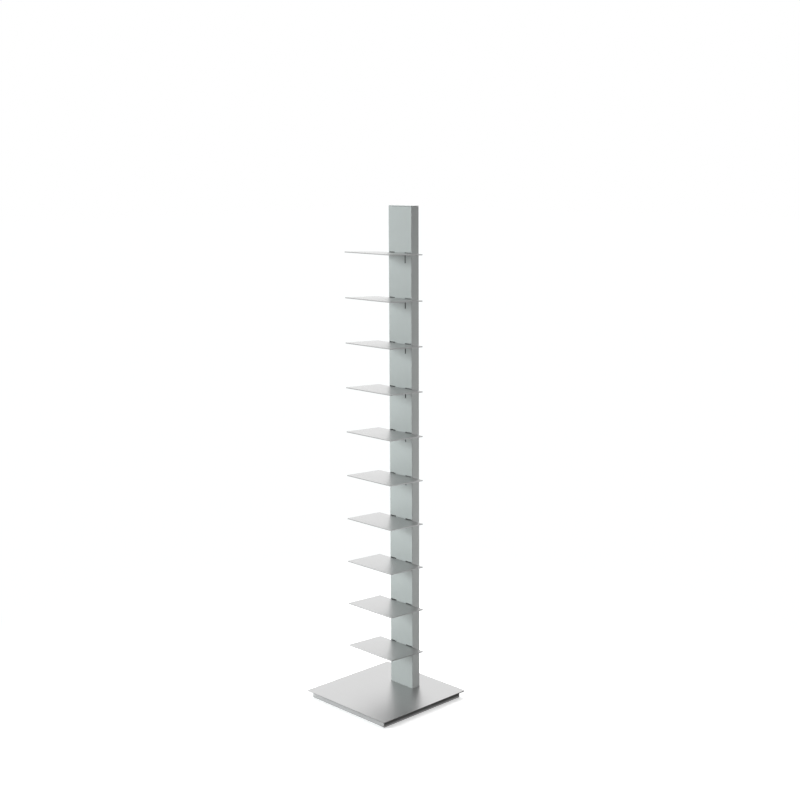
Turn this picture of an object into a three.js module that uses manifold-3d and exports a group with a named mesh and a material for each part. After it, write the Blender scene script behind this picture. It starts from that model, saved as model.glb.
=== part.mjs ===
// Spine bookshelf: a slim steel column on a heavy square base carries ten
// lift-off shelf plates, each for a short flat stack of books.
// Millimetres, +Z up. The origin is the middle of the base's footprint on the
// floor, and the shelves reach from the column towards -Y, the front.

import * as THREE from 'three';
import { mergeVertices } from 'three/addons/utils/BufferGeometryUtils.js';
import Module from 'manifold-3d';

const wasm = await Module();
wasm.setup();

// Base: a thin top plate over a heavy slab that stands on four pads
const baseSide = 350;
const basePlateThickness = 3;
const slabThickness = 20;
const slabInset = 12;
const padDiameter = 24;
const padThickness = 3;
const padRecess = 2;
const padEdge = 1;
const padFromSlabEdge = 22;

// Column: a folded channel, open at the back, closed by a flat panel
const columnWidth = 98;
const columnDepth = 30;
const columnWall = 2;
const columnBend = 2;
const columnSetback = 244;
const columnSurround = 1;
const backPanelThickness = 2;
const capThickness = 2;
const capJoint = 0.4;
const capSkirtDepth = 12;
const capSkirtWall = 1.5;

// Shelves: one bent sheet each, hung in two slots of the column
const shelfCount = 10;
const shelfPitch = 136.5;
const topBay = 140;
const shelfWidth = 193;
const shelfDepth = 136;
const shelfThickness = 3;
const shelfSlopeDegrees = 2.7;
const shelfBackGap = 1;
const slotInner = 23.5;
const slotOuter = 46;
const slotHeadroom = 1.8;
const slotReliefRadius = 0.8;
const slitWidth = 3.6;
const slitDrop = 30;
const hookDrop = 1.4;
const bladeToeRadius = 5;
const bladeShoulder = 3;
const bladeRecess = 9;
const bladeToeRise = 5;

// Ties: folded brackets across the channel, which the back panel screws to
const tieHeight = 22;
const tieThickness = 2;
const tieFlange = 17;
const tieBays = [1, 4, 8, 11];

// Foot block and fasteners
const footBlockHeight = 30;
const footScrewFromEnd = 15.7;
const footScrewDiameter = 8;
const footScrewHead = 13;
const footScrewHeadHeight = 6;
const footScrewGrip = 18;
const footScrewSocket = 6;
const footScrewSocketDepth = 3.5;
const footCounterbore = 14;
const footCounterboreDepth = 8.5;
const studDiameter = 5;
const studLength = 13;
const studFromSlabEdge = 48;
const nutAcrossFlats = 8;
const nutHeight = 4;
const nutPocket = 12;
const nutPocketDepth = 12;
const panelScrewDiameter = 5;
const panelScrewLength = 8;
const panelScrewHead = 9.5;
const panelScrewHeadHeight = 2.6;
const panelScrewSocket = 3;
const panelScrewSocketDepth = 1.5;

// Clearances
const sideFit = 0.3;
const seatFit = 0.3;
const bladeFit = 0.3;
const cutOverrun = 5;

// Smoothness
const roundSides = 24;
const smallSides = 12;
const hexSides = 6;
const bendSteps = 4;

// Places that follow from the sizes
const slabBottom = padThickness - padRecess;
const slabTop = slabBottom + slabThickness;
const baseTop = slabTop + basePlateThickness;
const slabHalf = baseSide / 2 - slabInset;
const padOffset = slabHalf - padFromSlabEdge;
const studOffset = slabHalf - studFromSlabEdge;
const faceY = columnSetback - baseSide / 2;
const innerFaceY = faceY + columnWall;
const rearY = faceY + columnDepth;
const panelInnerY = rearY - backPanelThickness;
const columnMiddleY = faceY + columnDepth / 2;
const innerHalf = columnWidth / 2 - columnWall;
const shelfLevel = (n) => baseTop + n * shelfPitch;
const columnTop = shelfLevel(shelfCount) + topBay;
const channelTop = columnTop - capThickness - capJoint;
const capUnderside = columnTop - capThickness;
const slope = THREE.MathUtils.degToRad(shelfSlopeDegrees);
const tieMiddles = tieBays.map((bay) => baseTop + (bay - 1 / 2) * shelfPitch);

// Finishes
const satinSteel = { color: 0xc8c8c8, roughness: 0.36, metalness: 1 };
const silverLacquer = { color: 0xbabcbb, roughness: 0.45, metalness: 0 };
const brightSteel = { color: 0xbcbcbc, roughness: 0.37, metalness: 1 };
const rawSteel = { color: 0x8d9092, roughness: 0.5, metalness: 1 };
const zincSteel = { color: 0xa9adae, roughness: 0.4, metalness: 1 };
const darkRubber = { color: 0x1c1d1e, roughness: 0.85, metalness: 0 };

const toSide = new THREE.Matrix4().makeBasis(
  new THREE.Vector3(0, 1, 0),
  new THREE.Vector3(0, 0, 1),
  new THREE.Vector3(1, 0, 0),
);

function solidOf(geometry) {
  const bare = geometry.clone();
  bare.deleteAttribute('normal');
  bare.deleteAttribute('uv');
  const merged = mergeVertices(bare);
  const order = merged.index.array;
  return new wasm.Manifold(new wasm.Mesh({
    numProp: 3,
    vertProperties: new Float32Array(merged.attributes.position.array),
    triVerts: new Uint32Array(order),
  }));
}

function geometryOf(solid) {
  const mesh = solid.getMesh();
  const geometry = new THREE.BufferGeometry();
  geometry.setAttribute('position', new THREE.BufferAttribute(mesh.vertProperties, mesh.numProp));
  geometry.setIndex(new THREE.BufferAttribute(mesh.triVerts, 1));
  geometry.computeVertexNormals();
  return geometry;
}

function joined(solids) {
  return solids.reduce((sum, next) => sum.add(next));
}

function block(xLow, xHigh, yLow, yHigh, zLow, zHigh) {
  const box = new THREE.BoxGeometry(xHigh - xLow, yHigh - yLow, zHigh - zLow);
  box.translate((xLow + xHigh) / 2, (yLow + yHigh) / 2, (zLow + zHigh) / 2);
  return solidOf(box);
}

// A round bar or a prism along Z between two heights
function upright(diameter, x, y, zLow, zHigh, sides) {
  const bar = new THREE.CylinderGeometry(diameter / 2, diameter / 2, zHigh - zLow, sides);
  bar.rotateX(Math.PI / 2);
  bar.translate(x, y, (zLow + zHigh) / 2);
  return solidOf(bar);
}

// A round bar or a prism along Y between two depths
function crosswise(diameter, x, z, yLow, yHigh, sides) {
  const bar = new THREE.CylinderGeometry(diameter / 2, diameter / 2, yHigh - yLow, sides);
  bar.translate(x, (yLow + yHigh) / 2, z);
  return solidOf(bar);
}

// An outline in Y and Z, extruded along X
function sideProfile(points, xLow, xHigh) {
  const outline = new THREE.Shape(points.map(([y, z]) => new THREE.Vector2(y, z)));
  const body = new THREE.ExtrudeGeometry(outline, { depth: xHigh - xLow, bevelEnabled: false });
  body.applyMatrix4(toSide);
  body.translate(xLow, 0, 0);
  return solidOf(body);
}

function basePlate() {
  const half = baseSide / 2;
  const surroundX = columnWidth / 2 + columnSurround;
  const plate = block(-half, half, -half, half, slabTop, baseTop);
  const opening = block(
    -surroundX, surroundX, faceY - columnSurround, rearY + columnSurround,
    slabTop - cutOverrun, baseTop + cutOverrun,
  );
  const studs = corners(studOffset).map(([x, y]) => (
    upright(studDiameter, x, y, slabTop - studLength, baseTop - basePlateThickness / 2, smallSides)
  ));
  return joined([plate.subtract(opening), ...studs]);
}

function corners(offset) {
  return [[-offset, -offset], [offset, -offset], [-offset, offset], [offset, offset]];
}

function footScrewPlaces() {
  const outer = innerHalf - sideFit - footScrewFromEnd;
  return [-outer, 0, outer].map((x) => [x, columnMiddleY]);
}

function ballastSlab() {
  const slab = block(-slabHalf, slabHalf, -slabHalf, slabHalf, slabBottom, slabTop);
  const below = slabBottom - cutOverrun;
  const above = slabTop + cutOverrun;
  const cuts = [];
  for (const [x, y] of corners(padOffset)) {
    cuts.push(upright(padDiameter + 2 * sideFit, x, y, below, padThickness, roundSides));
  }
  for (const [x, y] of corners(studOffset)) {
    cuts.push(upright(studDiameter + 2 * sideFit, x, y, below, above, smallSides));
    cuts.push(upright(nutPocket, x, y, below, slabBottom + nutPocketDepth, smallSides));
  }
  for (const [x, y] of footScrewPlaces()) {
    cuts.push(upright(footScrewDiameter + 2 * sideFit, x, y, below, above, smallSides));
    cuts.push(upright(footCounterbore, x, y, below, slabBottom + footCounterboreDepth, roundSides));
  }
  return cuts.reduce((rest, cut) => rest.subtract(cut), slab);
}

// A pad with a softened lower edge, drawn as a profile turned about its axis
function pad(x, y) {
  const radius = padDiameter / 2;
  const profile = [
    new THREE.Vector2(0, 0),
    new THREE.Vector2(radius - padEdge, 0),
    new THREE.Vector2(radius, padEdge / 2),
    new THREE.Vector2(radius, padThickness),
    new THREE.Vector2(0, padThickness),
  ];
  const turned = new THREE.LatheGeometry(profile, roundSides);
  turned.rotateX(Math.PI / 2);
  turned.translate(x, y, 0);
  return solidOf(turned);
}

// The channel's plan: a U with round outer bends, open towards +Y
function channelPlan() {
  const half = columnWidth / 2;
  const plan = new THREE.Shape();
  plan.moveTo(-half, rearY);
  plan.lineTo(-half, faceY + columnBend);
  plan.absarc(-half + columnBend, faceY + columnBend, columnBend, Math.PI, 1.5 * Math.PI);
  plan.lineTo(half - columnBend, faceY);
  plan.absarc(half - columnBend, faceY + columnBend, columnBend, 1.5 * Math.PI, 2 * Math.PI);
  plan.lineTo(half, rearY);
  plan.lineTo(innerHalf, rearY);
  plan.lineTo(innerHalf, innerFaceY);
  plan.lineTo(-innerHalf, innerFaceY);
  plan.lineTo(-innerHalf, rearY);
  return plan;
}

// The left slot takes a plain tab, the right one a tab with a blade below it
function slotCuts(level) {
  const floor = level - shelfThickness - seatFit;
  const ceiling = level + slotHeadroom;
  const yLow = faceY - cutOverrun;
  const yHigh = innerFaceY + cutOverrun;
  const slitInner = slotInner - slitWidth;
  const reliefs = [-slotOuter, -slotInner, slotInner, slotOuter].map((x) => {
    const inward = Math.abs(x) === slotOuter ? -1 : 1;
    const centre = x + Math.sign(x) * inward * slotReliefRadius;
    return crosswise(2 * slotReliefRadius, centre, ceiling, yLow, yHigh, smallSides);
  });
  return [
    block(-slotOuter, -slotInner, yLow, yHigh, floor, ceiling),
    block(slitInner, slotOuter, yLow, yHigh, floor, ceiling),
    block(slitInner, slotInner, yLow, yHigh, level - slitDrop, level),
    ...reliefs,
  ];
}

function columnChannel() {
  const height = channelTop - slabTop;
  const body = new THREE.ExtrudeGeometry(channelPlan(), {
    depth: height,
    bevelEnabled: false,
    curveSegments: bendSteps,
  });
  body.translate(0, 0, slabTop);
  let channel = solidOf(body);
  for (let n = 1; n <= shelfCount; n += 1) {
    channel = channel.subtract(joined(slotCuts(shelfLevel(n))));
  }
  return channel;
}

function backPanel() {
  const half = innerHalf - sideFit;
  const panel = block(-half, half, panelInnerY, rearY, slabTop, channelTop);
  const holeFrom = panelInnerY - cutOverrun;
  const holeTo = rearY + cutOverrun;
  const holes = tieMiddles.map((z) => (
    crosswise(panelScrewDiameter + 2 * sideFit, 0, z, holeFrom, holeTo, smallSides)
  ));
  return panel.subtract(joined(holes));
}

// A bracket folded from strip: a web against the back panel, two side flanges
function tie(middle) {
  const half = innerHalf - sideFit;
  const low = middle - tieHeight / 2;
  const high = middle + tieHeight / 2;
  const webFront = panelInnerY - tieThickness;
  const flangeFront = panelInnerY - tieFlange;
  const web = block(-half, half, webFront, panelInnerY, low, high);
  const left = block(-half, -half + tieThickness, flangeFront, panelInnerY, low, high);
  const right = block(half - tieThickness, half, flangeFront, panelInnerY, low, high);
  const hole = crosswise(
    panelScrewDiameter + 2 * sideFit, 0, middle, webFront - cutOverrun, panelInnerY + cutOverrun, smallSides,
  );
  return joined([web, left, right]).subtract(hole);
}

function panelScrew(z) {
  const headEnd = rearY + panelScrewHeadHeight;
  const shank = crosswise(panelScrewDiameter, 0, z, rearY - panelScrewLength, rearY, smallSides);
  const socket = crosswise(
    panelScrewSocket, 0, z, headEnd - panelScrewSocketDepth, headEnd + cutOverrun, hexSides,
  );
  return shank.add(domedHead(z)).subtract(socket);
}

// The low domed head of a back panel screw
function domedHead(z) {
  const radius = panelScrewHead / 2;
  const dome = new THREE.Path();
  dome.moveTo(0, 0);
  dome.lineTo(radius, 0);
  dome.quadraticCurveTo(radius, panelScrewHeadHeight, radius / 2, panelScrewHeadHeight);
  dome.lineTo(0, panelScrewHeadHeight);
  const turned = new THREE.LatheGeometry(dome.getPoints(bendSteps), roundSides);
  turned.translate(0, rearY, z);
  return solidOf(turned);
}

function footBlock() {
  const half = innerHalf - sideFit;
  const top = slabTop + footBlockHeight;
  const solid = block(-half, half, innerFaceY + sideFit, panelInnerY - sideFit, slabTop, top);
  const depth = footScrewGrip + 2 * seatFit;
  const holes = footScrewPlaces().map(([x, y]) => (
    upright(footScrewDiameter + 2 * sideFit, x, y, slabTop - cutOverrun, slabTop + depth, smallSides)
  ));
  return solid.subtract(joined(holes));
}

function footScrew([x, y]) {
  const headTop = slabBottom + footCounterboreDepth;
  const headBottom = headTop - footScrewHeadHeight;
  const shank = upright(footScrewDiameter, x, y, headBottom, slabTop + footScrewGrip, smallSides);
  const head = upright(footScrewHead, x, y, headBottom, headTop, roundSides);
  const socket = upright(
    footScrewSocket, x, y, headBottom - cutOverrun, headBottom + footScrewSocketDepth, hexSides,
  );
  return shank.add(head).subtract(socket);
}

function studNut([x, y]) {
  const top = slabBottom + nutPocketDepth;
  const acrossCorners = nutAcrossFlats / Math.cos(Math.PI / hexSides);
  const nut = upright(acrossCorners, x, y, top - nutHeight, top, hexSides);
  const hole = upright(
    studDiameter + 2 * sideFit, x, y, top - nutHeight - cutOverrun, top + cutOverrun, smallSides,
  );
  return nut.subtract(hole);
}

function topCap() {
  const half = columnWidth / 2;
  const lid = new THREE.Shape();
  lid.moveTo(-half, rearY);
  lid.lineTo(-half, faceY + columnBend);
  lid.absarc(-half + columnBend, faceY + columnBend, columnBend, Math.PI, 1.5 * Math.PI);
  lid.lineTo(half - columnBend, faceY);
  lid.absarc(half - columnBend, faceY + columnBend, columnBend, 1.5 * Math.PI, 2 * Math.PI);
  lid.lineTo(half, rearY);
  const sheet = new THREE.ExtrudeGeometry(lid, {
    depth: capThickness,
    bevelEnabled: false,
    curveSegments: bendSteps,
  });
  sheet.translate(0, 0, capUnderside);
  const skirtX = innerHalf - sideFit;
  const skirtFront = innerFaceY + sideFit;
  const skirtRear = panelInnerY - sideFit;
  const skirtLow = capUnderside - capSkirtDepth;
  const skirt = block(-skirtX, skirtX, skirtFront, skirtRear, skirtLow, columnTop - capThickness / 2);
  const hollow = block(
    -skirtX + capSkirtWall, skirtX - capSkirtWall,
    skirtFront + capSkirtWall, skirtRear - capSkirtWall,
    skirtLow - cutOverrun, capUnderside,
  );
  return solidOf(sheet).add(skirt.subtract(hollow));
}

// One shelf, from its plate's back edge at the given level: the plate rises
// gently to the front, and two tabs reach through the column's slots. The left
// tab ends in a turned-down lip. The right tab runs to the back panel, with a
// blade folded down along its inner edge. The blade stands back behind the slit,
// and its toe hooks behind the sheet below it.
function shelf(level) {
  const half = shelfWidth / 2;
  const backY = faceY - shelfBackGap;
  const along = [-Math.cos(slope), Math.sin(slope)];
  const down = [-Math.sin(slope), -Math.cos(slope)];
  const frontTop = [backY + shelfDepth * along[0], level + shelfDepth * along[1]];
  const backBottom = [backY + shelfThickness * down[0], level + shelfThickness * down[1]];
  const frontBottom = [frontTop[0] + shelfThickness * down[0], frontTop[1] + shelfThickness * down[1]];
  const rooted = [
    backY + shelfThickness * (along[0] + down[0] / 2),
    level + shelfThickness * (along[1] + down[1] / 2),
  ];
  const plate = sideProfile([[backY, level], frontTop, frontBottom, backBottom], -half, half);

  const underside = level - shelfThickness;
  const lipFront = innerFaceY + bladeFit;
  const lipRear = lipFront + shelfThickness;
  const lipLow = underside - hookDrop;
  const leftTab = sideProfile([
    [backY, level], rooted, backBottom, [lipFront, underside],
    [lipFront, lipLow], [lipRear, lipLow], [lipRear, level],
  ], -slotOuter + sideFit, -slotInner - sideFit);

  const bladeRear = panelInnerY - bladeFit;
  const slitInner = slotInner - slitWidth;
  const bladeInner = slitInner + sideFit;
  const rightTab = sideProfile([
    [backY, level], rooted, backBottom, [lipFront, underside],
    [bladeRear, underside], [bladeRear, level],
  ], bladeInner, slotOuter - sideFit);

  const bladeLow = level - slitDrop - hookDrop;
  const toeTop = level - slitDrop;
  const waistFront = lipFront + bladeRecess;
  const blade = sideProfile([
    [lipFront, level - shelfThickness / 2],
    [lipFront, underside - bladeShoulder],
    [waistFront, underside - bladeShoulder],
    [waistFront, toeTop + bladeToeRise],
    [lipFront, toeTop],
    [lipFront, bladeLow],
    [bladeRear - bladeToeRadius, bladeLow],
    [bladeRear, bladeLow + bladeToeRadius],
    [bladeRear, level - shelfThickness / 2],
  ], bladeInner, slotInner - sideFit);
  return joined([plate, leftTab, rightTab, blade]);
}

const bookshelf = new THREE.Group();

function place(name, solid, finish) {
  const mesh = new THREE.Mesh(geometryOf(solid), new THREE.MeshStandardMaterial(finish));
  mesh.name = name;
  bookshelf.add(mesh);
}

place('base_plate', basePlate(), brightSteel);
place('ballast_slab', ballastSlab(), satinSteel);
const cornerNames = ['front_left', 'front_right', 'rear_left', 'rear_right'];
corners(padOffset).forEach(([x, y], i) => place(`pad_${cornerNames[i]}`, pad(x, y), darkRubber));
corners(studOffset).forEach((spot, i) => place(`plate_nut_${cornerNames[i]}`, studNut(spot), zincSteel));
place('foot_block', footBlock(), rawSteel);
footScrewPlaces().forEach((spot, i) => place(`foot_screw_${i + 1}`, footScrew(spot), zincSteel));
place('column_channel', columnChannel(), silverLacquer);
place('column_back_panel', backPanel(), silverLacquer);
tieMiddles.forEach((middle, i) => place(`column_tie_${i + 1}`, tie(middle), rawSteel));
tieMiddles.forEach((middle, i) => place(`back_panel_screw_${i + 1}`, panelScrew(middle), zincSteel));
place('top_cap', topCap(), silverLacquer);
for (let n = 1; n <= shelfCount; n += 1) {
  place(`shelf_${String(n).padStart(2, '0')}`, shelf(shelfLevel(n)), brightSteel);
}

export default bookshelf;
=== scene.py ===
# Spine bookshelf: ten lift-off steel shelves on a slim column, with a heavy square base.
# Metres, +Z up, the shelves reach towards -Y. Every size comes from the frame or a piece's own values.
import math

import bmesh
import bpy
from mathutils import Matrix, Vector


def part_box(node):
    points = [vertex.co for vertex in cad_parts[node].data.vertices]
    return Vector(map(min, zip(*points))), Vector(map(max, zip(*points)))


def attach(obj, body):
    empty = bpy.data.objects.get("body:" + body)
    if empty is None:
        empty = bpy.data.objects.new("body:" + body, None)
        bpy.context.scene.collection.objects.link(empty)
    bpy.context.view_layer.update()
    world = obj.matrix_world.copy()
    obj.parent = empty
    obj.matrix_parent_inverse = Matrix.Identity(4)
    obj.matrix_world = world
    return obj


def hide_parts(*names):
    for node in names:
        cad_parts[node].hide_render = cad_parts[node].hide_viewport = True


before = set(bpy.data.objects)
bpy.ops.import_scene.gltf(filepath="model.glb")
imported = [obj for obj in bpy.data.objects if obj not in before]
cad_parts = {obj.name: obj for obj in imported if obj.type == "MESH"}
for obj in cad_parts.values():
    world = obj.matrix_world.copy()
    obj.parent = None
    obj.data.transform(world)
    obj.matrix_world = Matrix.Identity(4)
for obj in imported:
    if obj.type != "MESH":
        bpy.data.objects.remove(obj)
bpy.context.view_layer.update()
mm = 0.001


# Camera

view = {
    "eye": (2.882866, -2.736048, 1.666025),
    "azimuth": 45.81031,  # degrees round the object from its front
    "elevation": 10.21720,
    "roll": -0.24634,
    "sensor": 36.0,
    "focalInPixels": 1338.446,
    "imageSide": 800,
}


def addCamera():
    bpy.ops.object.camera_add(location=view["eye"])
    camera = bpy.context.object
    camera.name = "bookshelfCamera"
    turn, lift, roll = (math.radians(view[k]) for k in ("azimuth", "elevation", "roll"))
    right = Vector((math.cos(turn), math.sin(turn), 0))
    back = Vector((math.sin(turn) * math.cos(lift), -math.cos(turn) * math.cos(lift), math.sin(lift)))
    up = back.cross(right)
    rolledRight = right * math.cos(roll) + up * math.sin(roll)
    rolledUp = up * math.cos(roll) - right * math.sin(roll)
    turned = Matrix((rolledRight, rolledUp, back)).transposed()
    camera.matrix_world = Matrix.Translation(view["eye"]) @ turned.to_4x4()
    camera.data.sensor_width = view["sensor"]
    camera.data.lens = view["sensor"] * view["focalInPixels"] / view["imageSide"]
    bpy.context.scene.camera = camera


addCamera()
print("camera placed")


# Modelling helpers

near = 0.02 * mm  # how close a corner lies to the place that it is picked by
overrun = 5 * mm  # how far a cutting tool reaches past the piece
anywhere = (-math.inf, math.inf)
sidesOf = {"hexagon": 6, "relief": 24, "hole": 32, "shank": 40, "screw": 48, "pad": 64}
stepsOf = {"chamfer": 1, "small": 3, "corner": 4, "bend": 5, "dome": 6}  # flats across an edge


def deselectAll():
    if bpy.context.object and bpy.context.object.mode == "EDIT":
        bpy.ops.object.mode_set(mode="OBJECT")
    bpy.ops.object.select_all(action="DESELECT")


def makeActive(piece):
    deselectAll()
    piece.select_set(True)
    bpy.context.view_layer.objects.active = piece


def edit(piece):
    makeActive(piece)
    bpy.ops.object.mode_set(mode="EDIT")


def leaveEdit():
    bpy.ops.object.mode_set(mode="OBJECT")


def addBlock(name, low, high):
    deselectAll()
    low, high = Vector(low), Vector(high)
    bpy.ops.mesh.primitive_cube_add(size=1, location=(low + high) / 2, scale=high - low)
    piece = bpy.context.object
    piece.name = name
    bpy.ops.object.transform_apply(location=True, rotation=True, scale=True)
    return piece


def addRound(name, radius, centre, low, high, sides="screw", axis="Z"):
    deselectAll()
    middle = (low + high) / 2
    place = (*centre, middle) if axis == "Z" else (centre[0], middle, centre[1])
    turned = (0, 0, 0) if axis == "Z" else (math.pi / 2, 0, 0)
    bpy.ops.mesh.primitive_cylinder_add(
        vertices=sidesOf[sides], radius=radius, depth=high - low, location=place, rotation=turned
    )
    piece = bpy.context.object
    piece.name = name
    bpy.ops.object.transform_apply(location=True, rotation=True, scale=True)
    return piece


# Selects what lies wholly between the given limits along X, Y and Z
def pick(piece, kind, x=anywhere, y=anywhere, z=anywhere, more=False):
    limits = [(axis, axis) if isinstance(axis, float) else axis for axis in (x, y, z)]
    bpy.ops.mesh.select_mode(type=kind)
    if not more:
        bpy.ops.mesh.select_all(action="DESELECT")
    mesh = bmesh.from_edit_mesh(piece.data)
    for part in {"VERT": mesh.verts, "EDGE": mesh.edges, "FACE": mesh.faces}[kind]:
        corners = [part] if kind == "VERT" else part.verts
        inside = all(
            low - near <= corner.co[axis] <= high + near
            for corner in corners
            for axis, (low, high) in enumerate(limits)
        )
        if inside:
            part.select_set(True)
    mesh.select_flush_mode()
    bmesh.update_edit_mesh(piece.data)


def move(x=0, y=0, z=0):
    bpy.ops.transform.translate(value=(x, y, z))


def extrude(x=0, y=0, z=0):
    bpy.ops.mesh.extrude_region_move(TRANSFORM_OT_translate={"value": (x, y, z)})


def roundOff(radius, steps):
    bpy.ops.mesh.bevel(offset=radius, segments=stepsOf[steps], affect="EDGES")


# Rounds the rims of a round piece at the given heights or depths
def roundRims(piece, places, radius, steps="small", axis="z"):
    edit(piece)
    for place in places:
        pick(piece, "EDGE", **{axis: place})
        roundOff(radius, steps)
    leaveEdit()


# Adds a line of edges right round the piece at each place
def bisectAt(axis, places):
    facing = Vector([axis == name for name in "XYZ"])
    for place in places:
        bpy.ops.mesh.select_all(action="SELECT")
        bpy.ops.mesh.bisect(plane_co=facing * place, plane_no=facing)


def cut(piece, tool, how="DIFFERENCE"):
    makeActive(piece)
    step = piece.modifiers.new("cut", "BOOLEAN")
    step.operation = how
    step.solver = "EXACT"
    step.object = tool
    bpy.ops.object.modifier_apply(modifier=step.name)
    bpy.data.objects.remove(tool)


# Breaks the sharp edges and keeps the flats flat
def soften(piece, width, steps=2, angle=35):
    makeActive(piece)
    bpy.ops.object.shade_smooth()
    edge = piece.modifiers.new("softEdges", "BEVEL")
    edge.width = width
    edge.segments = steps
    edge.limit_method = "ANGLE"
    edge.angle_limit = math.radians(angle)
    edge.use_clamp_overlap = True
    bpy.ops.object.modifier_apply(modifier=edge.name)
    flat = piece.modifiers.new("flatFaces", "WEIGHTED_NORMAL")
    flat.mode = "FACE_AREA"
    flat.weight = 50
    flat.keep_sharp = True
    bpy.ops.object.modifier_apply(modifier=flat.name)


def copyOf(piece, name, shift):
    makeActive(piece)
    bpy.ops.object.duplicate()
    twin = bpy.context.object
    twin.name = name
    bpy.ops.transform.translate(value=shift)
    bpy.ops.object.transform_apply(location=True, rotation=True, scale=True)
    return twin


def middleOf(name):
    low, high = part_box(name)
    return (low + high) / 2


def install(piece, node, body, material):
    piece.data.materials.clear()
    piece.data.materials.append(material)
    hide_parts(node)
    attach(piece, body)


# Sets one modelled piece and its copies at their nodes' places
def installAll(piece, nodes, material):
    for node in reversed(nodes):
        shift = middleOf(node) - middleOf(nodes[0])
        twin = piece if node == nodes[0] else copyOf(piece, piece.name, shift)
        first, *rest = node.split("_")
        twin.name = first + "".join(word.capitalize() for word in rest)
        install(twin, node, "stand", material)


# Finishes

# Links each input that is given a socket and sets the others to the given value
def fill(tree, sockets, inputs):
    for key, value in inputs.items():
        if isinstance(value, bpy.types.NodeSocket):
            tree.links.new(value, sockets[key])
        else:
            sockets[key].default_value = value


def addNode(tree, kind, inputs=None, **options):
    node = tree.nodes.new("ShaderNode" + kind)
    for key, value in options.items():
        setattr(node, key, value)
    fill(tree, node.inputs, inputs or {})
    return node


def groupNode(tree, group, inputs):
    return addNode(tree, "Group", inputs, node_tree=group).outputs


def calculate(tree, operation, first, second=0.0, clamp=False):
    return addNode(tree, "Math", {0: first, 1: second}, operation=operation, use_clamp=clamp).outputs[0]


def spreadOut(tree, value, fromRange, toRange=(0.0, 1.0), **options):
    ends = dict(zip(("From Min", "From Max", "To Min", "To Max"), (*fromRange, *toRange)))
    return addNode(tree, "MapRange", {"Value": value, **ends}, **options).outputs[0]


# Colours are given as a socket or as three numbers
def mixColours(tree, share, *colours):
    both = [c if isinstance(c, bpy.types.NodeSocket) else (*c, 1) for c in colours]
    mix = addNode(tree, "Mix", {0: share, "A": both[0], "B": both[1]}, data_type="RGBA")
    return mix.outputs["Result"]


def startGroup(name, inputs, outputs):
    group = bpy.data.node_groups.new(name, "ShaderNodeTree")
    for label, kind, value in inputs:
        socket = group.interface.new_socket(name=label, in_out="INPUT", socket_type="NodeSocket" + kind)
        if value is not None:
            socket.default_value = value
    for label in outputs:
        group.interface.new_socket(name=label, in_out="OUTPUT", socket_type="NodeSocketFloat")
    return group, group.nodes.new("NodeGroupInput").outputs, group.nodes.new("NodeGroupOutput").inputs


patterns = {
    "fineDetail": 3.0,
    "broadDetail": 2.0,
    "streakRange": (0.7, 1.3),  # of the two noises' sum
    "cloudRange": (0.3, 0.7),
    "cloudWarp": 0.4,
    "scratchSlants": ((0.5, 0.3, 0.9), (-0.4, 0.8, -0.6)),  # radians
    "scratchDrawn": (1, 60, 60),
    "scratchContrast": 20.0,
    "bevelSamples": 6,
    "wearDensity": 90.0,  # spots of wear per metre
    "wearDetail": 2.0,
    "wearRange": (0.3, 0.65),
    "wearShare": (0.35, 1.0),
}


# Brushing: long fine streaks with broader ones under them
def makeBrushing():
    tree, given, out = startGroup(
        "brushing",
        [("Vector", "Vector", None), ("Stretch", "Vector", (25, 2500, 2500)), ("Broadness", "Float", 0.12)],
        ["Streaks"],
    )
    fine = addNode(tree, "VectorMath", {0: given["Vector"], 1: given["Stretch"]}, operation="MULTIPLY")
    broad = addNode(
        tree, "VectorMath", {0: fine.outputs[0], "Scale": given["Broadness"]}, operation="SCALE"
    )
    noises = []
    for scaled, detail in ((fine, patterns["fineDetail"]), (broad, patterns["broadDetail"])):
        noise = addNode(tree, "TexNoise", {"Vector": scaled.outputs[0], "Scale": 1.0, "Detail": detail})
        noises.append(noise.outputs["Fac"])
    total = calculate(tree, "ADD", *noises)
    fill(tree, out, {"Streaks": spreadOut(tree, total, patterns["streakRange"])})
    return tree


# Soft uneven patches, as handling and polishing leave them
def makeClouding():
    tree, given, out = startGroup(
        "clouding",
        [("Vector", "Vector", None), ("Size", "Float", 0.08), ("Detail", "Float", 3.0)],
        ["Clouds"],
    )
    density = calculate(tree, "DIVIDE", 1.0, given["Size"])
    noise = addNode(
        tree,
        "TexNoise",
        {
            "Vector": given["Vector"],
            "Scale": density,
            "Detail": given["Detail"],
            "Distortion": patterns["cloudWarp"],
        },
    )
    fill(tree, out, {"Clouds": spreadOut(tree, noise.outputs["Fac"], patterns["cloudRange"])})
    return tree


# Hairlines: sparse thin scratches that cross the surface at two slants
def makeHairlines():
    tree, given, out = startGroup(
        "hairlines",
        [("Vector", "Vector", None), ("Length", "Float", 0.05), ("Sparseness", "Float", 0.72)],
        ["Lines"],
    )
    length = calculate(tree, "DIVIDE", 1.0, given["Length"])
    masks = []
    for slants in patterns["scratchSlants"]:
        turned = addNode(
            tree,
            "VectorRotate",
            {"Vector": given["Vector"], "Rotation": slants},
            rotation_type="EULER_XYZ",
        )
        drawn = addNode(
            tree, "Mapping", {"Vector": turned.outputs[0], "Scale": patterns["scratchDrawn"]}
        )
        noise = addNode(tree, "TexNoise", {"Vector": drawn.outputs[0], "Scale": length, "Detail": 1.0})
        above = calculate(tree, "SUBTRACT", noise.outputs["Fac"], given["Sparseness"])
        masks.append(calculate(tree, "MULTIPLY", above, patterns["scratchContrast"], clamp=True))
    fill(tree, out, {"Lines": calculate(tree, "MAXIMUM", *masks)})
    return tree


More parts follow.
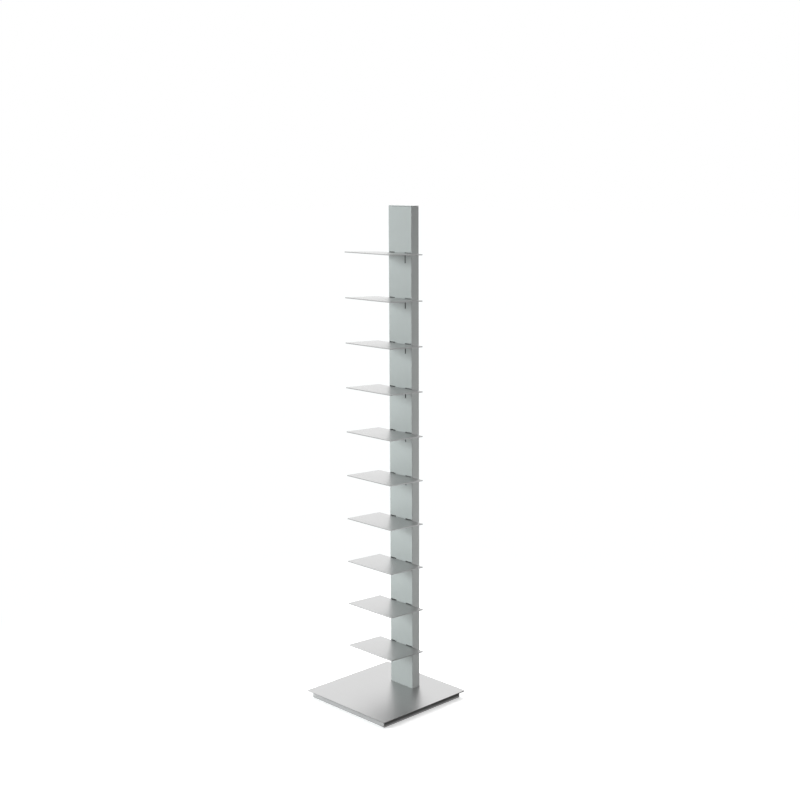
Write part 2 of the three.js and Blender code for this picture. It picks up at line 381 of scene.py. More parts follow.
# Worn edges: where the surface turns within a small radius, unevenly
def makeEdgeWear():
    tree, given, out = startGroup(
        "edgeWear",
        [("Vector", "Vector", None), ("Radius", "Float", 0.001), ("Amount", "Float", 3.0)],
        ["Edges"],
    )
    rounded = addNode(tree, "Bevel", {"Radius": given["Radius"]}, samples=patterns["bevelSamples"])
    surface = addNode(tree, "NewGeometry")
    along = addNode(
        tree, "VectorMath", {0: rounded.outputs[0], 1: surface.outputs["Normal"]}, operation="DOT_PRODUCT"
    )
    turned = calculate(tree, "SUBTRACT", 1.0, along.outputs["Value"])
    strong = calculate(tree, "MULTIPLY", turned, given["Amount"], clamp=True)
    noise = addNode(
        tree,
        "TexNoise",
        {"Vector": given["Vector"], "Scale": patterns["wearDensity"], "Detail": patterns["wearDetail"]},
    )
    uneven = spreadOut(tree, noise.outputs["Fac"], patterns["wearRange"], patterns["wearShare"])
    fill(tree, out, {"Edges": calculate(tree, "MULTIPLY", strong, uneven)})
    return tree


# Spangle: flat crystals of plating, each a little lighter or darker
def makeSpangle():
    tree, given, out = startGroup(
        "spangle", [("Vector", "Vector", None), ("Size", "Float", 0.0012)], ["Crystals"]
    )
    density = calculate(tree, "DIVIDE", 1.0, given["Size"])
    cells = addNode(tree, "TexVoronoi", {"Vector": given["Vector"], "Scale": density})
    tone = addNode(tree, "SeparateColor", {"Color": cells.outputs["Color"]})
    fill(tree, out, {"Crystals": tone.outputs[0]})
    return tree


brushing = makeBrushing()
clouding = makeClouding()
hairlines = makeHairlines()
edgeWear = makeEdgeWear()
spangle = makeSpangle()


def startMaterial(name):
    material = bpy.data.materials.new(name)
    material.use_nodes = True
    tree = material.node_tree
    surface = tree.nodes["Principled BSDF"]
    place = addNode(tree, "TexCoord").outputs["Object"]
    return material, tree, surface, place


# Gives the surface its colour, its roughness and a bump of the given height
def coat(tree, surface, finish, colour, rough, height):
    bump = addNode(
        tree, "Bump", {"Height": height, "Strength": finish["bump"], "Distance": finish["bumpHeight"]}
    )
    surface.inputs["Metallic"].default_value = finish["metallic"]
    varied = {"Base Color": colour, "Roughness": rough, "Normal": bump.outputs[0]}
    fill(tree, surface.inputs, varied)


# 1 within a box and 0 outside it
def withinBox(tree, place, low, high):
    parts = addNode(tree, "SeparateXYZ", {0: place}).outputs
    mask = 1.0
    for axis in range(3):
        above = calculate(tree, "GREATER_THAN", parts[axis], low[axis])
        below = calculate(tree, "LESS_THAN", parts[axis], high[axis])
        mask = calculate(tree, "MULTIPLY", mask, calculate(tree, "MULTIPLY", above, below))
    return mask


# Every steel is built alike: brushing and clouds shade a dark and a light tone of its colour,
# and its edges and hairlines catch more light; inside a finish's shade box the colour is painted near black
# as shade
def makeSteel(name, finish):
    material, tree, surface, place = startMaterial(name)
    streaks = groupNode(tree, brushing, {"Vector": place, "Stretch": finish["brushing"]})["Streaks"]
    clouds = groupNode(tree, clouding, {"Vector": place, "Size": finish["cloudSize"]})["Clouds"]
    lines = groupNode(tree, hairlines, {"Vector": place, "Sparseness": finish["sparseness"]})["Lines"]
    edges = groupNode(
        tree, edgeWear, {"Vector": place, "Radius": finish["edgeRadius"], "Amount": finish["edgeAmount"]}
    )["Edges"]
    patches = clouds
    if "crystal" in finish:
        patches = groupNode(tree, spangle, {"Vector": place, "Size": finish["crystal"]})["Crystals"]
    shading = addNode(
        tree, "Mix", {0: finish["cloudShare"], 2: streaks, 3: patches}, data_type="FLOAT"
    ).outputs[0]
    dark = [c * (1 - finish["contrast"]) for c in finish["colour"]]
    light = [c * (1 + finish["contrast"]) for c in finish["colour"]]
    bright = calculate(tree, "MULTIPLY", edges, finish["edgeShare"])
    scratched = calculate(tree, "MULTIPLY", lines, finish["lineShare"])
    caught = calculate(tree, "MAXIMUM", bright, scratched)
    colour = mixColours(tree, caught, mixColours(tree, shading, dark, light), finish["edgeColour"])
    # Painted shade: inside this box the colour is near black, standing for the shade in the column's hollow
    # and its openings
    if "paintedShadeBox" in finish:
        paintedShadeMask = withinBox(tree, place, *finish["paintedShadeBox"])
        colour = mixColours(tree, paintedShadeMask, colour, finish["paintedShadeColour"])
    middle, spread = finish["roughness"], finish["roughnessSpread"]
    unevenness = calculate(tree, "ADD", streaks, clouds)
    rough = spreadOut(tree, unevenness, (0.0, 2.0), (middle - spread, middle + spread))
    height = calculate(tree, "SUBTRACT", streaks, scratched)
    coat(tree, surface, finish, colour, rough, height)
    return material


# Matt rubber with a fine grain and a little dust
def makeRubber(name, finish):
    material, tree, surface, place = startMaterial(name)
    clouds = groupNode(tree, clouding, {"Vector": place, "Size": finish["dustSize"]})["Clouds"]
    edges = groupNode(
        tree, edgeWear, {"Vector": place, "Radius": finish["edgeRadius"], "Amount": finish["edgeAmount"]}
    )["Edges"]
    dusty = calculate(tree, "MULTIPLY", calculate(tree, "MAXIMUM", clouds, edges), finish["dustShare"])
    colour = mixColours(tree, dusty, finish["colour"], finish["dust"])
    grain = addNode(
        tree, "TexNoise", {"Vector": place, "Scale": finish["grain"], "Detail": finish["grainDetail"]}
    )
    rough = spreadOut(tree, clouds, (0.0, 1.0), finish["roughnessRange"])
    coat(tree, surface, finish, colour, rough, grain.outputs["Fac"])
    return material


satin = {
    "metallic": 1.0,
    "brushing": (25, 2600, 2600),  # streaks along X, in waves per metre
    "cloudSize": 0.09,
    "cloudShare": 0.45,
    "contrast": 0.035,
    "sparseness": 0.74,
    "lineShare": 0.10,
    "edgeRadius": 0.9 * mm,
    "edgeAmount": 4.0,
    "edgeShare": 0.35,
    "edgeColour": (0.66, 0.66, 0.66),
    "roughnessSpread": 0.035,
    "bump": 0.22,
    "bumpHeight": 0.012 * mm,
}
plateSteel = makeSteel("plateSteel", {**satin, "colour": (0.50, 0.50, 0.50), "roughness": 0.37})
insideShade = {
    "sheet": 2 * mm,  # the column's wall; the painted shade lies inside it
    "reach": 0.3 * mm,  # how far in from the outer face the openings' walls keep the outer colour before the painted shade
}


# The room inside the column and the walls of its openings, where the colour is painted near black as shade
def insideShadeBox():
    low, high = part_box("column_channel")
    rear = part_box("column_back_panel")[0].y
    side, reach = insideShade["sheet"] - insideShade["reach"] / 2, insideShade["reach"]
    return (
        (low.x + side, low.y + reach, low.z - reach),
        (high.x - side, rear + reach, high.z + reach),
    )


columnSteel = makeSteel(
    "columnSteel",
    {
        **satin,
        "metallic": 0.0,  # silver lacquer
        "brushing": (900, 900, 500),
        "colour": (0.485, 0.503, 0.494),
        "contrast": 0.025,
        "roughness": 0.45,
        "edgeColour": (0.62, 0.64, 0.635),
        "bumpHeight": 0.02 * mm,
        # painted shade for the column's hollow and the walls of its slots and slits
        "paintedShadeBox": insideShadeBox(),
        "paintedShadeColour": (0.05, 0.05, 0.05),
    },
)
slabSteel = makeSteel(
    "slabSteel",
    {
        **satin,
        "brushing": (18, 18, 900),
        "colour": (0.48, 0.48, 0.48),
        "roughness": 0.36,
        "cloudSize": 0.05,
        "contrast": 0.06,
        "edgeRadius": 1.2 * mm,
    },
)
rawSteel = makeSteel(
    "rawSteel",
    {
        **satin,
        "brushing": (300, 300, 300),
        "colour": (0.27, 0.27, 0.28),
        "roughness": 0.5,
        "roughnessSpread": 0.09,
        "cloudSize": 0.012,
        "cloudShare": 0.75,
        "contrast": 0.3,
        "edgeColour": (0.45, 0.45, 0.45),
        "bumpHeight": 0.03 * mm,
    },
)
zincSteel = makeSteel(
    "zincSteel",
    {
        **satin,
        "brushing": (400, 400, 400),
        "colour": (0.60, 0.62, 0.62),
        "roughness": 0.3,
        "cloudSize": 0.004,
        "cloudShare": 0.6,
        "contrast": 0.09,
        "crystal": 0.9 * mm,
        "edgeRadius": 0.4 * mm,
        "edgeColour": (0.78, 0.78, 0.76),
    },
)
padRubber = makeRubber(
    "padRubber",
    {
        "colour": (0.018, 0.018, 0.020),
        "dust": (0.16, 0.155, 0.15),
        "dustShare": 0.18,
        "dustSize": 0.006,
        "metallic": 0.0,
        "roughnessRange": (0.74, 0.9),
        "grain": 2600.0,  # waves per metre
        "grainDetail": 4.0,
        "bump": 0.35,
        "bumpHeight": 0.05 * mm,
        "edgeRadius": 0.8 * mm,
        "edgeAmount": 2.0,
    },
)
print("finishes made")


# Column

column = {
    "wall": 2 * mm,
    "bend": 1.3 * mm,
    "slotInner": 23.5 * mm,
    "slotOuter": 46 * mm,
    "slotBelow": 3.3 * mm,  # under a shelf's level
    "slotAbove": 1.8 * mm,
    "reliefRadius": 0.8 * mm,
    "slitWidth": 3.6 * mm,
    "slitDrop": 30 * mm,
    "weld": 0.05 * mm,  # corners closer than this are made one
    "softness": 0.18 * mm,
}
shelfNames = sorted(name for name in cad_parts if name.startswith("shelf_"))

shelf = {
    "sheet": 3 * mm,
    "depth": 136 * mm,
    "slope": 2.7,  # degrees, rising to the front
    "backGap": 1 * mm,
    "fit": 0.3 * mm,
    "lipDrop": 1.4 * mm,
    "shoulder": 3 * mm,  # under the right tab, before the blade stands back
    "recess": 9 * mm,
    "toeRise": 5 * mm,
    "heelRadius": 5 * mm,
    "cornerRadius": 1.2 * mm,
    "foldRadius": 2.6 * mm,
    "innerFold": 0.8 * mm,
    "softness": 0.35 * mm,
}
shelfRise = shelf["depth"] * math.sin(math.radians(shelf["slope"]))


def levelOf(name):
    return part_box(name)[1].z - shelfRise


def slotTool(level):
    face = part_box("column_channel")[0].y
    front, inside = face - column["wall"], face + 2 * column["wall"]
    floor, ceiling = level - column["slotBelow"], level + column["slotAbove"]
    inner, outer, radius = column["slotInner"], column["slotOuter"], column["reliefRadius"]
    slitInner = inner - column["slitWidth"]
    tool = addBlock("slotTool", (-outer, front, floor), (-inner, inside, ceiling))
    cut(tool, addBlock("rightSlot", (slitInner, front, floor), (outer, inside, ceiling)), "UNION")
    slit = addBlock("slit", (slitInner, front, level - column["slitDrop"]), (inner, inside, level))
    cut(tool, slit, "UNION")
    for x in (-outer + radius, -inner - radius, inner + radius, outer - radius):
        relief = addRound("relief", radius, (x, ceiling), front, inside, sides="relief", axis="Y")
        cut(tool, relief, "UNION")
    return tool


def modelColumn():
    low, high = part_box("column_channel")
    wall = column["wall"]
    channel = addBlock("columnShell", low, high)
    edit(channel)
    for x in (low.x, high.x):
        pick(channel, "EDGE", x=x, y=low.y)
        roundOff(column["bend"], "bend")
    leaveEdit()
    hollowLow = (low.x + wall, low.y + wall, low.z - wall)
    hollowHigh = (high.x - wall, high.y + wall, high.z + wall)
    cut(channel, addBlock("hollow", hollowLow, hollowHigh))
    for name in shelfNames:
        cut(channel, slotTool(levelOf(name)))
    edit(channel)
    bpy.ops.mesh.select_all(action="SELECT")
    bpy.ops.mesh.remove_doubles(threshold=column["weld"])
    leaveEdit()
    soften(channel, column["softness"])
    return channel


def modelShelf():
    low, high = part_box(shelfNames[0])
    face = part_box("column_channel")[0].y
    level = levelOf(shelfNames[0])
    backY = face - shelf["backGap"]
    frontY = backY - shelf["depth"] * math.cos(math.radians(shelf["slope"]))
    under = level - shelf["sheet"]
    lipFront = face + column["wall"] + shelf["fit"]
    lipRear = lipFront + shelf["sheet"]
    leftTab = (-column["slotOuter"] + shelf["fit"], -column["slotInner"] - shelf["fit"])
    bladeInner = column["slotInner"] - column["slitWidth"] + shelf["fit"]
    bladeOuter = column["slotInner"] - shelf["fit"]
    rightTab = (bladeInner, column["slotOuter"] - shelf["fit"])
    blade = (bladeInner, bladeOuter)
    waist = lipFront + shelf["recess"]
    shoulder = under - shelf["shoulder"]
    toeTop = level - column["slitDrop"]
    toeRoot = toeTop + shelf["toeRise"]

    plate = addBlock("shelfPlate", (low.x, frontY, under), (high.x, backY, level))
    edit(plate)
    bisectAt("X", (*leftTab, *rightTab, bladeOuter))
    # The two tabs grow out of the plate's back edge
    pick(plate, "FACE", x=leftTab, y=backY)
    extrude(y=lipFront - backY)
    extrude(y=lipRear - lipFront)
    pick(plate, "FACE", x=rightTab, y=backY)
    extrude(y=lipFront - backY)
    extrude(y=waist - lipFront)
    extrude(y=high.y - waist)
    # The lip and the blade are folded down behind the column's front sheet
    pick(plate, "FACE", x=leftTab, y=(lipFront, lipRear), z=under)
    extrude(z=-shelf["lipDrop"])
    pick(plate, "FACE", x=blade, y=(lipFront, high.y), z=under)
    extrude(z=shoulder - under)
    pick(plate, "FACE", x=blade, y=(waist, high.y), z=shoulder)
    extrude(z=toeRoot - shoulder)
    extrude(z=low.z - toeRoot)
    # The toe reaches forward and hooks behind the sheet below the slit
    pick(plate, "FACE", x=blade, y=waist, z=(low.z, toeRoot))
    extrude(y=lipFront - waist)
    pick(plate, "EDGE", x=blade, y=lipFront, z=toeRoot)
    move(z=toeTop - toeRoot)
    pick(plate, "EDGE", x=blade, y=high.y, z=low.z)
    roundOff(shelf["heelRadius"], "dome")
    # The plate rises to the front
    pick(plate, "VERT", y=frontY)
    move(z=shelfRise)
    # Folds and corners
    pick(plate, "EDGE", x=bladeInner, y=(backY, high.y), z=level)
    roundOff(shelf["foldRadius"], "bend")
    pick(plate, "EDGE", x=leftTab, y=lipRear, z=level)
    roundOff(shelf["foldRadius"], "bend")
    pick(plate, "EDGE", x=bladeOuter, y=(lipFront, high.y), z=under)
    roundOff(shelf["innerFold"], "small")
    for x in (low.x, high.x):
        for y in (frontY, backY):
            pick(plate, "EDGE", x=x, y=y)
            roundOff(shelf["cornerRadius"], "corner")
    leaveEdit()
    soften(plate, shelf["softness"])
    return plate


install(modelColumn(), "column_channel", "stand", columnSteel)
print("column modelled")

firstShelf = modelShelf()
for name in reversed(shelfNames):
    number = name.split("_")[1]
    shift = levelOf(name) - levelOf(shelfNames[0])
    plate = firstShelf if name == shelfNames[0] else copyOf(firstShelf, "shelfPlate", (0, 0, shift))
    plate.name = f"shelfPlate_{number}"
    install(plate, name, name, plateSteel)
print("shelves modelled:", len(shelfNames))


# Cap, back panel, ties and foot block

cap = {
    "lid": 1.8 * mm,
    "bend": 1.3 * mm,
    "fit": 0.3 * mm,
    "skirtWall": 1.5 * mm,
    "softness": 0.3 * mm,
}
panel = {"hole": 2.8 * mm, "softness": 0.3 * mm}
tie = {"sheet": 2 * mm, "outerBend": 2.6 * mm, "innerBend": 0.8 * mm, "softness": 0.25 * mm}
block = {"hole": 4.3 * mm, "holeDepth": 18.6 * mm, "softness": 0.6 * mm}
tieNumbers = range(1, 5)
footNumbers = range(1, 4)


def modelCap():
    low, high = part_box("top_cap")
    under = high.z - cap["lid"]
    inset = column["wall"] + cap["fit"]
    outerX = (low.x + inset, high.x - inset)
    outerY = (low.y + inset, high.y - inset)
    innerX = (outerX[0] + cap["skirtWall"], outerX[1] - cap["skirtWall"])
    innerY = (outerY[0] + cap["skirtWall"], outerY[1] - cap["skirtWall"])
    lid = addBlock("capLid", (low.x, low.y, under), high)
    edit(lid)
    bisectAt("X", (*outerX, *innerX))
    bisectAt("Y", (*outerY, *innerY))
    # The skirt grows down from a ring of faces under the lid
    pick(lid, "FACE", x=(outerX[0], innerX[0]), y=outerY, z=under)
    pick(lid, "FACE", x=(innerX[1], outerX[1]), y=outerY, z=under, more=True)
    pick(lid, "FACE", x=outerX, y=(outerY[0], innerY[0]), z=under, more=True)
    pick(lid, "FACE", x=outerX, y=(innerY[1], outerY[1]), z=under, more=True)
    extrude(z=low.z - under)
    for x in (low.x, high.x):
        pick(lid, "EDGE", x=x, y=low.y)
        roundOff(cap["bend"], "bend")
    leaveEdit()
    soften(lid, cap["softness"])
    return lid


def modelPanel():
    low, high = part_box("column_back_panel")
    sheet = addBlock("backPanel", low, high)
    front, rear = low.y - overrun, high.y + overrun
    for number in tieNumbers:
        screw = middleOf(f"back_panel_screw_{number}")
        cut(sheet, addRound("hole", panel["hole"], (screw.x, screw.z), front, rear, axis="Y"))
    soften(sheet, panel["softness"])
    return sheet


def modelTie():
    low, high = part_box("column_tie_1")
    webFront = high.y - tie["sheet"]
    flangeX = (low.x + tie["sheet"], high.x - tie["sheet"])
    bracket = addBlock("tieBracket", (low.x, webFront, low.z), high)
    edit(bracket)
    bisectAt("X", flangeX)
    pick(bracket, "FACE", x=(low.x, flangeX[0]), y=webFront)
    pick(bracket, "FACE", x=(flangeX[1], high.x), y=webFront, more=True)
    extrude(y=low.y - webFront)
    for x in (low.x, high.x):
        pick(bracket, "EDGE", x=x, y=high.y)
        roundOff(tie["outerBend"], "bend")
    for x in flangeX:
        pick(bracket, "EDGE", x=x, y=webFront)
        roundOff(tie["innerBend"], "small")
    for x in ((low.x, flangeX[0]), (flangeX[1], high.x)):
        for z in (low.z, high.z):
            pick(bracket, "EDGE", x=x, y=low.y, z=z)
            roundOff(tie["outerBend"], "corner")
    leaveEdit()
    screw = middleOf("back_panel_screw_1")
    front, rear = low.y - overrun, high.y + overrun
    cut(bracket, addRound("hole", panel["hole"], (screw.x, screw.z), front, rear, axis="Y"))
    soften(bracket, tie["softness"])
    return bracket


def modelFootBlock():
    low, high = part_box("foot_block")
    bar = addBlock("footBar", low, high)
    for number in footNumbers:
        centre = middleOf(f"foot_screw_{number}").xy
        hole = addRound("hole", block["hole"], centre, low.z - overrun, low.z + block["holeDepth"])
        cut(bar, hole)
    soften(bar, block["softness"])
    return bar


install(modelCap(), "top_cap", "stand", columnSteel)
install(modelPanel(), "column_back_panel", "stand", columnSteel)
installAll(modelTie(), [f"column_tie_{n}" for n in tieNumbers], rawSteel)
install(modelFootBlock(), "foot_block", "stand", rawSteel)
print("cap, panel, ties and foot block modelled")


# Base

base = {
    "surround": 1 * mm,  # gap round the column
    "cornerRadius": 3.5 * mm,
    "softness": 0.4 * mm,
    "studRadius": 2.5 * mm,
    "studRoot": 1.5 * mm,  # how far the stud reaches into the plate
    "studPoint": 0.6 * mm,
}
slab = {
    "cornerRadius": 1.5 * mm,
    "softness": 0.6 * mm,
    "fit": 0.3 * mm,
    "nutPocket": 6 * mm,
    "nutPocketDepth": 12 * mm,
    "counterbore": 7 * mm,
    "counterboreDepth": 8.5 * mm,
    "screwHole": 4.3 * mm,
}
corners = ("front_left", "front_right", "rear_left", "rear_right")


def roundCorners(piece, low, high, radius):
    edit(piece)
    for x in (low.x, high.x):
        for y in (low.y, high.y):
            pick(piece, "EDGE", x=x, y=y)
            roundOff(radius, "corner")
    leaveEdit()


def modelBasePlate():
    low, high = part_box("base_plate")
    columnLow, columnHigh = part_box("column_channel")
    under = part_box("ballast_slab")[1].z
    gapX = (columnLow.x - base["surround"], columnHigh.x + base["surround"])
    gapY = (columnLow.y - base["surround"], columnHigh.y + base["surround"])
    plate = addBlock("baseTop", (low.x, low.y, under), high)
    edit(plate)
    bisectAt("X", gapX)
    bisectAt("Y", gapY)
    for z in (under, high.z):
        pick(plate, "FACE", x=gapX, y=gapY, z=z)
        bpy.ops.mesh.delete(type="FACE")
    pick(plate, "EDGE", x=gapX, y=gapY)
    bpy.ops.mesh.bridge_edge_loops()
    leaveEdit()
    roundCorners(plate, low, high, base["cornerRadius"])
    for corner in corners:
        centre = middleOf(f"plate_nut_{corner}").xy
        stud = addRound("stud", base["studRadius"], centre, low.z, under + base["studRoot"], sides="hole")
        roundRims(stud, (low.z,), base["studPoint"], "chamfer")
        cut(plate, stud, "UNION")
    soften(plate, base["softness"])
    return plate


def modelSlab():
    low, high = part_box("ballast_slab")
    below, above = low.z - overrun, high.z + overrun
    body = addBlock("slabBody", low, high)
    roundCorners(body, low, high, slab["cornerRadius"])
    for corner in corners:
        padLow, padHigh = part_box(f"pad_{corner}")
        padRadius = (padHigh.x - padLow.x) / 2 + slab["fit"]
        cut(body, addRound("seat", padRadius, middleOf(f"pad_{corner}").xy, below, padHigh.z, sides="pad"))
        centre = middleOf(f"plate_nut_{corner}").xy
        cut(body, addRound("hole", base["studRadius"] + slab["fit"], centre, below, above, sides="hole"))
        cut(body, addRound("pocket", slab["nutPocket"], centre, below, low.z + slab["nutPocketDepth"]))
    for number in footNumbers:
        centre = middleOf(f"foot_screw_{number}").xy
        cut(body, addRound("hole", slab["screwHole"], centre, below, above, sides="shank"))
        cut(body, addRound("bore", slab["counterbore"], centre, below, low.z + slab["counterboreDepth"]))
    soften(body, slab["softness"])
    return body


install(modelBasePlate(), "base_plate", "stand", plateSteel)
install(modelSlab(), "ballast_slab", "stand", slabSteel)
print("base modelled")


# Pads, nuts and screws

pad = {"rim": 1 * mm, "ring": 3.5 * mm, "hollow": 0.6 * mm, "softness": 0.15 * mm}
nut = {
    "acrossFlats": 8 * mm,
    "bore": 2.8 * mm,
    "chamfer": 0.6 * mm,
    "slack": 0.02 * mm,
    "softness": 0.12 * mm,
}
footScrew = {
    "head": 6.5 * mm,
    "headHeight": 6 * mm,
    "shank": 4 * mm,
    "socket": 3 * mm,
    "socketDepth": 3.5 * mm,
    "rim": 0.5 * mm,
    "point": 0.8 * mm,
    "softness": 0.15 * mm,
}
panelScrew = {
    "head": 4.75 * mm,
    "dome": 2.2 * mm,
    "shank": 2.5 * mm,
    "root": 1 * mm,  # how far the shank reaches into the head
    "socket": 1.5 * mm,
    "socketDepth": 1.5 * mm,
    "point": 0.5 * mm,
    "softness": 0.08 * mm,
}


# A round foot with a soft rim and a shallow hollow underneath
def modelPad():
    low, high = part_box(f"pad_{corners[0]}")
    radius = (high.x - low.x) / 2
    foot = addRound("padFoot", radius, middleOf(f"pad_{corners[0]}").xy, low.z, high.z, sides="pad")
    roundRims(foot, (low.z,), pad["rim"], "corner")
    edit(foot)
    pick(foot, "FACE", z=low.z)
    bpy.ops.mesh.inset(thickness=pad["ring"])
    extrude(z=pad["hollow"])
    leaveEdit()
    soften(foot, pad["softness"])
    return foot


def modelNut():
    low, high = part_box(f"plate_nut_{corners[0]}")
    centre = middleOf(f"plate_nut_{corners[0]}").xy
    radius = nut["acrossFlats"] / 2 / math.cos(math.pi / 6)
    body = addRound("plateNut", radius, centre, low.z, high.z, sides="hexagon")
    crown = addRound("crown", radius + nut["slack"], centre, low.z, high.z)
    roundRims(crown, (low.z, high.z), nut["chamfer"], "chamfer")
    cut(body, crown, "INTERSECT")
    cut(body, addRound("bore", nut["bore"], centre, low.z - overrun, high.z + overrun, sides="hole"))
    soften(body, nut["softness"])
    return body


def modelFootScrew():
    low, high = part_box("foot_screw_1")
    centre = middleOf("foot_screw_1").xy
    headTop = low.z + footScrew["headHeight"]
    body = addRound("footScrew", footScrew["head"], centre, low.z, headTop)
    roundRims(body, (low.z,), footScrew["rim"])
    shank = addRound("shank", footScrew["shank"], centre, (low.z + headTop) / 2, high.z, sides="shank")
    roundRims(shank, (high.z,), footScrew["point"], "chamfer")
    cut(body, shank, "UNION")
    below, deep = low.z - overrun, low.z + footScrew["socketDepth"]
    cut(body, addRound("socket", footScrew["socket"], centre, below, deep, sides="hexagon"))
    soften(body, footScrew["softness"])
    return body


def modelPanelScrew():
    low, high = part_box("back_panel_screw_1")
    middle = middleOf("back_panel_screw_1")
    centre = (middle.x, middle.z)
    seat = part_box("column_back_panel")[1].y
    body = addRound("panelScrew", panelScrew["head"], centre, seat, high.y, axis="Y")
    roundRims(body, (high.y,), panelScrew["dome"], "dome", axis="y")
    rooted = seat + panelScrew["root"]
    shank = addRound("shank", panelScrew["shank"], centre, low.y, rooted, sides="hole", axis="Y")
    roundRims(shank, (low.y,), panelScrew["point"], "chamfer", axis="y")
    cut(body, shank, "UNION")
    deep, beyond = high.y - panelScrew["socketDepth"], high.y + overrun
    cut(body, addRound("socket", panelScrew["socket"], centre, deep, beyond, sides="hexagon", axis="Y"))
    soften(body, panelScrew["softness"])
    return body


installAll(modelPad(), [f"pad_{corner}" for corner in corners], padRubber)
installAll(modelNut(), [f"plate_nut_{corner}" for corner in corners], zincSteel)
installAll(modelFootScrew(), [f"foot_screw_{n}" for n in footNumbers], zincSteel)
installAll(modelPanelScrew(), [f"back_panel_screw_{n}" for n in tieNumbers], zincSteel)
print("pads, nuts and screws modelled")


# Studio

white = (1.0, 1.0, 1.0, 1.0)
studio = {
    "floorSide": 60.0,
    "floorColour": (0.93, 0.93, 0.93),
    "floorBounce": (0.42, 0.42, 0.42),  # its colour as it lights the object
    "floorLift": 0.45,  # added where the floor is seen, so that it reads white
    "plainFloor": (1.0, 1.02, 1.02),
    "plainFrom": 0.5,  # from here outwards the floor fades to plain white
    "plainTo": 1.6,
    "ambient": 0.15,
}
lamps = {
    "skyLamp": {
        "place": (-1.2, 1.6, 5.2),
        "size": (5.0, 5.0),
        "aim": (0, 0, 0),
        "power": 270,
        "colour": (1.0, 1.0, 1.0),
    },
    "softBox": {
        "place": (-8.8, -7.8, 3.5),
        "size": (10.0, 3.4),
        "aim": (0, 0, 0.9),
        "power": 1600,
        "colour": (0.92, 1.0, 1.0),
    },
    "lowLamp": {
        "place": (-0.6, -0.55, 0.55),
        "size": (0.5, 0.5),
        "aim": (0, 0.07, 0.5),
        "power": 1.25,
        "colour": (0.92, 1.0, 1.0),
    },
    "sideLamp": {
        "place": (1.5, 0.75, 0.65),
        "size": (0.5, 0.5),
        "aim": (0, 0.08, 0.65),
        "power": 8,
        "colour": (1.0, 1.0, 1.0),
    },
}
# Cards, seen in the metal alone
cards = {
    "backCard": {"place": (-3.9, 2.5, 2.0), "size": (5.6, 4.0), "facing": (1, -1, 0), "glow": 1.45},
    "frontCard": {"place": (-3.3, -3.2, 1.7), "size": (5.0, 3.4), "facing": (1, 1, 0), "glow": 1.0},
    "sideCard": {"place": (2.7, 2.4, 1.2), "size": (4.0, 2.6), "facing": (-1, -0.9, 0), "glow": 0.42},
    "darkCard": {"place": (3.6, -3.6, 1.4), "size": (3.5, 3.0), "facing": (-1, 1, 0), "glow": 0.12},
    # Painted shadow: these dark cards lie on the floor by the base and stand for the floor's shadow as the
    # metal sees it
    "floorShadowCard": {"place": (0.75, 0.3, 0.0005), "size": (1.2, 1.6), "facing": (0, 0, 1), "glow": 0.42},
    "slabShadowCard": {"place": (0.262, 0.03, 0.0008), "size": (0.18, 0.6), "facing": (0, 0, 1), "glow": 0.02},
    "edgeShadowCard": {"place": (0, -0.212, 0.0009), "size": (0.36, 0.03), "facing": (0, 0, 1), "glow": 0.02},
}


# 1 where a surface is seen straight, in metal or through glass, and 0 where it only gives light
def seenDirectly(tree):
    rays = addNode(tree, "LightPath").outputs
    straight = calculate(tree, "MAXIMUM", rays["Is Camera Ray"], rays["Is Glossy Ray"])
    return calculate(tree, "MAXIMUM", straight, rays["Is Transmission Ray"])


def makeWorld():
    world = bpy.data.worlds.new("studioWorld")
    bpy.context.scene.world = world
    world.use_nodes = True
    tree = world.node_tree
    tree.nodes.clear()
    ambient = addNode(tree, "Background", {"Color": white, "Strength": studio["ambient"]})
    plain = addNode(tree, "Background", {"Color": white})
    mix = addNode(tree, "MixShader", {0: seenDirectly(tree), 1: ambient.outputs[0], 2: plain.outputs[0]})
    addNode(tree, "OutputWorld", {"Surface": mix.outputs[0]})


def emptyMaterial(name):
    material = bpy.data.materials.new(name)
    material.use_nodes = True
    material.node_tree.nodes.clear()
    return material, material.node_tree


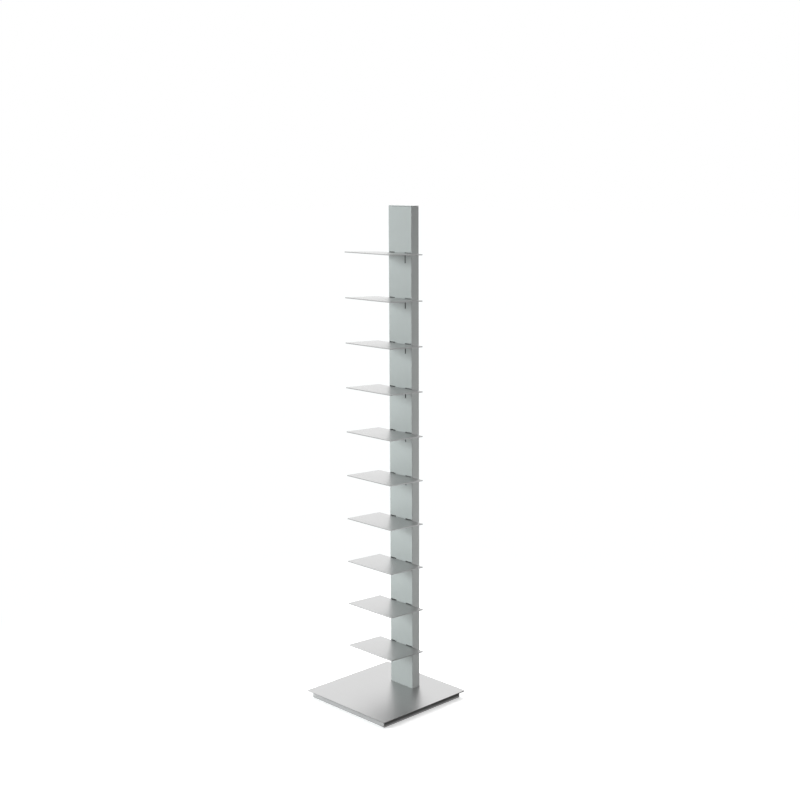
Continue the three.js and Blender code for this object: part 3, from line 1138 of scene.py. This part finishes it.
def floorMaterial():
    material, tree = emptyMaterial("paleFloor")
    shade = addNode(tree, "BsdfDiffuse", {"Color": (*studio["floorColour"], 1)})
    lift = addNode(tree, "Emission", {"Strength": studio["floorLift"]})
    lifted = addNode(tree, "AddShader", {0: shade.outputs[0], 1: lift.outputs[0]})
    plain = addNode(tree, "Emission", {"Color": (*studio["plainFloor"], 1)})
    bounce = addNode(tree, "BsdfDiffuse", {"Color": (*studio["floorBounce"], 1)})
    place = addNode(tree, "TexCoord").outputs["Object"]
    reach = addNode(tree, "VectorMath", {0: place}, operation="LENGTH").outputs["Value"]
    fadeRange = (studio["plainFrom"], studio["plainTo"])
    fade = spreadOut(tree, reach, fadeRange, interpolation_type="SMOOTHSTEP")
    seen = addNode(tree, "MixShader", {0: fade, 1: lifted.outputs[0], 2: plain.outputs[0]})
    kept = addNode(tree, "MixShader", {0: seenDirectly(tree), 1: bounce.outputs[0], 2: seen.outputs[0]})
    addNode(tree, "OutputMaterial", {"Surface": kept.outputs[0]})
    return material


def addFloor():
    deselectAll()
    bpy.ops.mesh.primitive_plane_add(size=studio["floorSide"])
    floor = bpy.context.object
    floor.name = "paleFloor"
    floor.data.materials.append(floorMaterial())


def addLamp(name, values):
    bpy.ops.object.light_add(type="AREA", location=values["place"])
    lamp = bpy.context.object
    lamp.name = name
    lamp.data.shape = "RECTANGLE"
    lamp.data.size, lamp.data.size_y = values["size"]
    lamp.data.energy = values["power"]
    aim = Vector(values["aim"]) - Vector(values["place"])
    lamp.rotation_euler = aim.to_track_quat("-Z", "Y").to_euler()
    lamp.data.color = values["colour"]
    lamp.visible_glossy = False
    lamp.visible_camera = False


def addCard(name, values):
    deselectAll()
    bpy.ops.mesh.primitive_plane_add(size=1, location=values["place"])
    card = bpy.context.object
    card.name = name
    card.scale = (*values["size"], 1)
    card.rotation_euler = Vector(values["facing"]).to_track_quat("Z", "Y").to_euler()
    material, tree = emptyMaterial(name)
    glow = addNode(tree, "Emission", {"Strength": values["glow"]})
    addNode(tree, "OutputMaterial", {"Surface": glow.outputs[0]})
    card.data.materials.append(material)
    for ray in ("camera", "diffuse", "shadow", "transmission"):
        setattr(card, f"visible_{ray}", False)


makeWorld()
addFloor()
for name, values in lamps.items():
    addLamp(name, values)
for name, values in cards.items():
    addCard(name, values)
bpy.context.scene.view_settings.view_transform = "Standard"
print("studio lit")

deselectAll()
